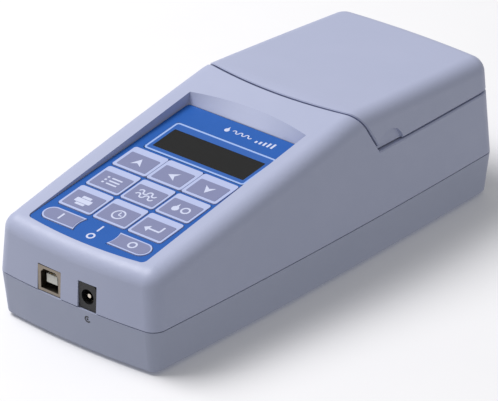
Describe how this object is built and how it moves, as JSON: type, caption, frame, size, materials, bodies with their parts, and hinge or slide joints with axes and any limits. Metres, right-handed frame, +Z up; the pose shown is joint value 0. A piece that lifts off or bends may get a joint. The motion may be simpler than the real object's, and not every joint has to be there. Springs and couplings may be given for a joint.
{
  "type": "digital water tester",
  "caption": "Handheld-bench photometer for pool water: sloping keypad and display, hinged lid over a round sample well, sockets in front.",
  "frame": {"origin": "centre of the overall footprint, hinge included, at table level under the feet", "axes": "+Z up, +Y from the front face to the rear hinge, +X to the right of someone facing the front"},
  "size_m": [0.0872, 0.2198, 0.0668],
  "materials": {
    "black_plastic": "matt",
    "blue_film": "printed polycarbonate film, satin",
    "board": "solder mask",
    "case_plastic": "fine moulded texture, soft gloss",
    "cell_wrap": "printed wrap",
    "clear_film": "polyester film",
    "filter_glass": "coated",
    "key_film": "embossed printed film, satin",
    "lamp_lens": "moulded epoxy",
    "lcd": "polished",
    "nickel": "nickel plated",
    "rubber": "moulded rubber",
    "steel": "zinc plated",
    "white_plastic": "moulded",
    "window": "polished acrylic"
  },
  "bodies": {
    "case": {"battery_cells": "cell_wrap", "battery_contacts": "nickel", "block_screws": "steel", "board_link": "black_plastic", "case_screws": "steel", "connector_board": "board", "dc_jack_body": "black_plastic", "dc_jack_contacts": "nickel", "detector": "nickel", "detector_board": "board", "display_bezel": "black_plastic", "display_board": "board", "display_glass": "lcd", "display_ribbon": "clear_film", "display_screws": "steel", "display_window": "window", "feet": "rubber", "hinge_pin": "steel", "keypad_circuit": "clear_film", "keypad_spacer": "clear_film", "lamp": "lamp_lens", "lamp_board": "board", "lower_case": "case_plastic", "main_board": "board", "main_board_parts": "black_plastic", "main_board_screws": "steel", "optical_block": "black_plastic", "optical_filter": "filter_glass", "overlay_panel": "blue_film", "snap_domes": "nickel", "upper_case": "case_plastic", "usb_contacts": "nickel", "usb_insulator": "white_plastic", "usb_shell": "nickel", "well_gasket": "rubber"},
    "lid": {"lid_shell": "case_plastic", "lid_liner": "black_plastic"},
    "battery_door": {"battery_door": "case_plastic"},
    "key_arrow_down": {"key_arrow_down": "key_film"},
    "key_arrow_left": {"key_arrow_left": "key_film"},
    "key_arrow_up": {"key_arrow_up": "key_film"},
    "key_clock": {"key_clock": "key_film"},
    "key_enter": {"key_enter": "key_film"},
    "key_mode": {"key_mode": "key_film"},
    "key_off": {"key_off": "key_film"},
    "key_on": {"key_on": "key_film"},
    "key_print": {"key_print": "key_film"},
    "key_recall": {"key_recall": "key_film"},
    "key_zero_test": {"key_zero_test": "key_film"}
  },
  "joints": [
    {"name": "lid_hinge", "type": "hinge", "parent": "case", "child": "lid", "pos_m": [0, 0.10686, 0.0479], "axis": [-1, 0, 0], "range_deg": [0, 105]},
    {"name": "battery_door_hinge", "type": "hinge", "parent": "case", "child": "battery_door", "pos_m": [0, -0.07881, 0.00275], "axis": [-1, 0, 0], "range_deg": [0, 92]},
    {"name": "key_arrow_down_press", "type": "slide", "parent": "case", "child": "key_arrow_down", "axis": [0, 0.1461, -0.9893], "range_m": [0, 0.0003], "stiffness_N_per_m": 1500},
    {"name": "key_arrow_left_press", "type": "slide", "parent": "case", "child": "key_arrow_left", "axis": [0, 0.1461, -0.9893], "range_m": [0, 0.0003], "stiffness_N_per_m": 1500},
    {"name": "key_arrow_up_press", "type": "slide", "parent": "case", "child": "key_arrow_up", "axis": [0, 0.1461, -0.9893], "range_m": [0, 0.0003], "stiffness_N_per_m": 1500},
    {"name": "key_clock_press", "type": "slide", "parent": "case", "child": "key_clock", "axis": [0, 0.1461, -0.9893], "range_m": [0, 0.0003], "stiffness_N_per_m": 1500},
    {"name": "key_enter_press", "type": "slide", "parent": "case", "child": "key_enter", "axis": [0, 0.1461, -0.9893], "range_m": [0, 0.0003], "stiffness_N_per_m": 1500},
    {"name": "key_mode_press", "type": "slide", "parent": "case", "child": "key_mode", "axis": [0, 0.1461, -0.9893], "range_m": [0, 0.0003], "stiffness_N_per_m": 1500},
    {"name": "key_off_press", "type": "slide", "parent": "case", "child": "key_off", "axis": [0, 0.1461, -0.9893], "range_m": [0, 0.0003], "stiffness_N_per_m": 1500},
    {"name": "key_on_press", "type": "slide", "parent": "case", "child": "key_on", "axis": [0, 0.1461, -0.9893], "range_m": [0, 0.0003], "stiffness_N_per_m": 1500},
    {"name": "key_print_press", "type": "slide", "parent": "case", "child": "key_print", "axis": [0, 0.1461, -0.9893], "range_m": [0, 0.0003], "stiffness_N_per_m": 1500},
    {"name": "key_recall_press", "type": "slide", "parent": "case", "child": "key_recall", "axis": [0, 0.1461, -0.9893], "range_m": [0, 0.0003], "stiffness_N_per_m": 1500},
    {"name": "key_zero_test_press", "type": "slide", "parent": "case", "child": "key_zero_test", "axis": [0, 0.1461, -0.9893], "range_m": [0, 0.0003], "stiffness_N_per_m": 1500}
  ]
}
